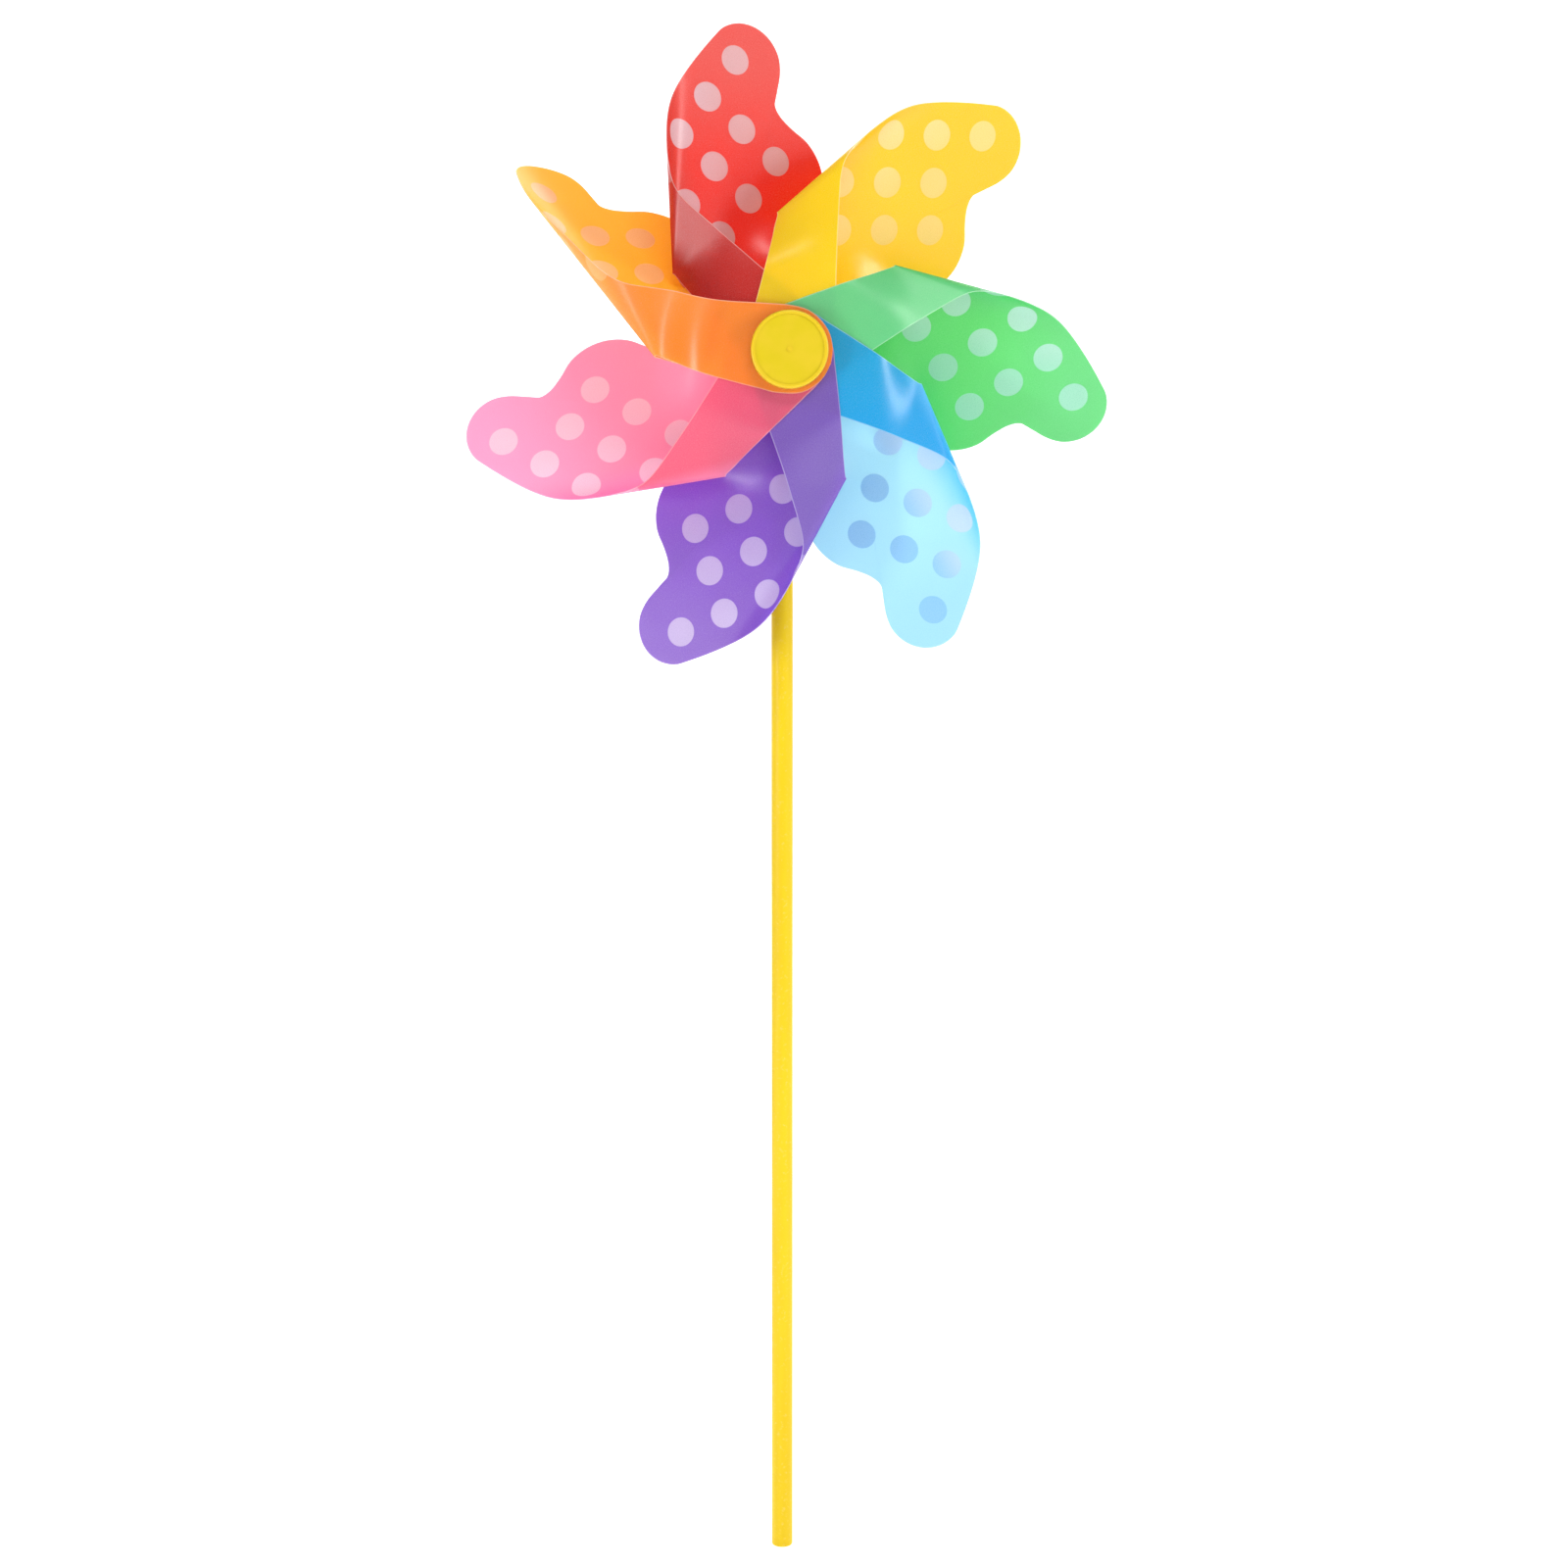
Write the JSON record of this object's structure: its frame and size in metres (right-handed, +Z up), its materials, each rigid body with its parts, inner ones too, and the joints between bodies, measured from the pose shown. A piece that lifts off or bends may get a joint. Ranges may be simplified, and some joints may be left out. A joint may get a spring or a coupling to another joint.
{
  "type": "pinwheel",
  "caption": "Garden pinwheel: curled coloured plastic vanes with dots, pinned at root and tip to a hub that spins on an axle through the head of a tall round stick.",
  "frame": {"origin": "centre of the foot of the stick", "axes": "+Z up along the stick, the wheel faces -Y, +X to the right as seen facing +Y"},
  "size_m": [0.2305, 0.0843, 0.5689],
  "materials": {
    "stick_plastic": "glossy",
    "cap_plastic": "satin",
    "hub_plastic": "satin",
    "axle_steel": "satin",
    "sheet_red": "frosted satin, printed dots",
    "sheet_yellow": "frosted satin, printed dots",
    "sheet_green": "frosted satin, printed dots",
    "sheet_blue": "frosted satin, printed dots",
    "sheet_purple": "frosted satin, printed dots",
    "sheet_pink": "frosted satin, printed dots",
    "sheet_orange": "frosted satin, printed dots"
  },
  "bodies": {
    "stem": {"stem_tube": "stick_plastic", "stem_head": "stick_plastic", "stem_foot_plug": "stick_plastic", "axle_pin": "axle_steel", "axle_push_cap": "stick_plastic", "rear_spacer": "hub_plastic"},
    "rotor": {"rotor_hub": "hub_plastic", "vane_spacer": "hub_plastic", "vane_red": "sheet_red", "vane_yellow": "sheet_yellow", "vane_green": "sheet_green", "vane_blue": "sheet_blue", "vane_purple": "sheet_purple", "vane_pink": "sheet_pink", "vane_orange": "sheet_orange", "front_cap": "cap_plastic"}
  },
  "joints": [
    {"name": "rotor_spin", "type": "hinge", "parent": "stem", "child": "rotor", "pos_m": [0, -0.045, 0.452], "axis": [0, -1, 0], "continuous": true}
  ]
}
